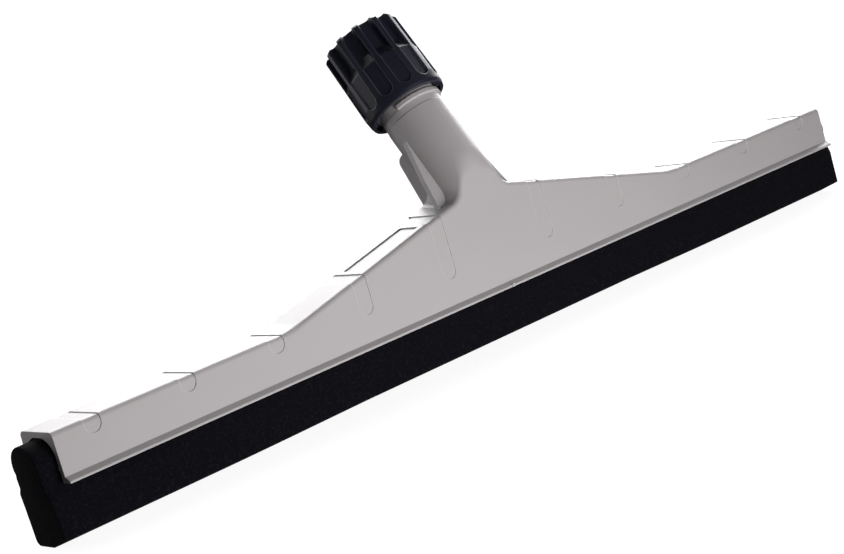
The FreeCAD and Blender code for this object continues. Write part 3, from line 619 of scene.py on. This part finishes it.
@dataclass
class Studio:
    """Pale floor, soft surroundings and the camera."""

    camera_at: tuple[float, float, float] = (-0.67882, -0.76072, 0.22296)
    camera_from: tuple[float, float] = (-39.94, 10.14)    # degrees: azimuth, elevation
    camera_roll: float = -14.6
    lens_mm: float = 87.98
    clip: tuple[float, float] = (0.01, 100.0)
    floor_size: float = 30.0
    floor_drop: float = 0.2 * MM    # below the blade's edge, so that they don't share a plane
    floor_colour: str = "#8A8A8A"
    floor_glow: float = 0.93     # keeps the paper white by itself
    dim: float = 0.04            # the room away from its bright patches
    glows: tuple[Glow, ...] = (
        Glow((10.0, -14.0), 14.0, 48.0, 1.1),      # pale room low in front
        Glow((126.0, 30.0), 12.0, 36.0, 8.8),      # white wall behind, on the right,
        Glow((-155.0, 22.0), 16.0, 42.0, 1.6))     # and a weaker one on the left
    key_at: tuple[float, float, float] = (-0.05, -0.48, -0.04)
    key_aim: tuple[float, float, float] = (-0.02, 0.0, 0.06)
    key_size: float = 0.3
    key_watts: float = 1.85

    def floor(self) -> None:
        """Lays the plain white floor, which takes a faint shadow and throws no light back.

        It casts no shadow either, because the key light stands below it.
        """
        half = self.floor_size / 2
        mesh = bpy.data.meshes.new("floor")
        mesh.from_pydata([(-half, -half, 0), (half, -half, 0), (half, half, 0),
                          (-half, half, 0)], [], [(0, 1, 2, 3)])
        floor = placed("studio_floor", mesh)
        floor.location.z = -self.floor_drop
        for ray in ("diffuse", "glossy", "transmission", "shadow"):
            setattr(floor, "visible_" + ray, False)
        paper = blank_material("matt_white_paper")
        shader = node(paper.node_tree, "ShaderNodeBsdfPrincipled",
                      {"Base Color": linear(self.floor_colour), "Roughness": 0.95,
                       "Specular IOR Level": 0.0, "Emission Color": WHITE,
                       "Emission Strength": self.floor_glow})
        node(paper.node_tree, "ShaderNodeOutputMaterial",
             links={"Surface": shader.outputs["BSDF"]})
        dress(floor, paper)

    def surroundings(self) -> None:
        """Lights the object from a soft room with bright patches, and shows plain white."""
        world = bpy.data.worlds.new("studio")
        world.use_nodes = True
        tree = world.node_tree
        tree.nodes.clear()
        way = node(tree, "ShaderNodeTexCoord").outputs["Generated"]
        level = None
        # the first patch is added to the dim room, and each later one to the sum so far
        for glow in self.glows:
            patch = glow.build(tree, way)
            level = node(tree, "ShaderNodeMath", {"operation": "ADD", 1: self.dim},
                         {0: patch} if level is None else {0: patch, 1: level}).outputs[0]
        room = node(tree, "ShaderNodeBackground", links={"Strength": level})
        white = node(tree, "ShaderNodeBackground", {"Color": WHITE})
        seen = node(tree, "ShaderNodeLightPath").outputs["Is Camera Ray"]
        mixed = node(tree, "ShaderNodeMixShader",
                     links={0: seen, 1: room.outputs[0], 2: white.outputs[0]})
        node(tree, "ShaderNodeOutputWorld", links={"Surface": mixed.outputs[0]})
        bpy.context.scene.world = world

    def key(self) -> None:
        """Adds the soft box low in front, near the middle of the blade."""
        data = bpy.data.lights.new("key", "AREA")
        data.size = self.key_size
        data.energy = self.key_watts
        light = placed("key", data)
        light.location = self.key_at
        light.rotation_mode = "QUATERNION"
        aim = Vector(self.key_aim) - Vector(self.key_at)
        light.rotation_quaternion = aim.to_track_quat("-Z", "Y")
        light.visible_camera = False
        light.visible_glossy = False     # or it would show as a spot on the satin wall

    def camera(self) -> None:
        """Stands the camera at its place, turned about its line of sight by the roll."""
        roll = math.radians(self.camera_roll)
        back = direction(*self.camera_from)
        across = (-back).cross(Vector((0, 0, 1))).normalized()
        upright = across.cross(-back).normalized()
        right = across * math.cos(roll) + upright * math.sin(roll)
        up = upright * math.cos(roll) - across * math.sin(roll)
        data = bpy.data.cameras.new("camera")
        data.lens = self.lens_mm
        data.sensor_width = SENSOR_MM
        data.clip_start, data.clip_end = self.clip
        camera = placed("camera", data)
        turn = Matrix((right, up, back)).transposed().to_4x4()
        camera.matrix_world = Matrix.Translation(Vector(self.camera_at)) @ turn
        bpy.context.scene.camera = camera

    def build(self) -> None:
        """Builds floor, surroundings, key light and camera."""
        self.floor()
        self.surroundings()
        self.key()
        self.camera()
        bpy.context.scene.view_settings.view_transform = "Standard"


def main() -> None:
    """Builds the scene."""
    logging.basicConfig(level=logging.INFO)
    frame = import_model()
    Studio().build()
    for sub_assembly in (ChannelFrame, HandleLock, FoamBlade):
        sub_assembly(frame["nodes"]).dress()


if __name__ == "__main__":
    main()
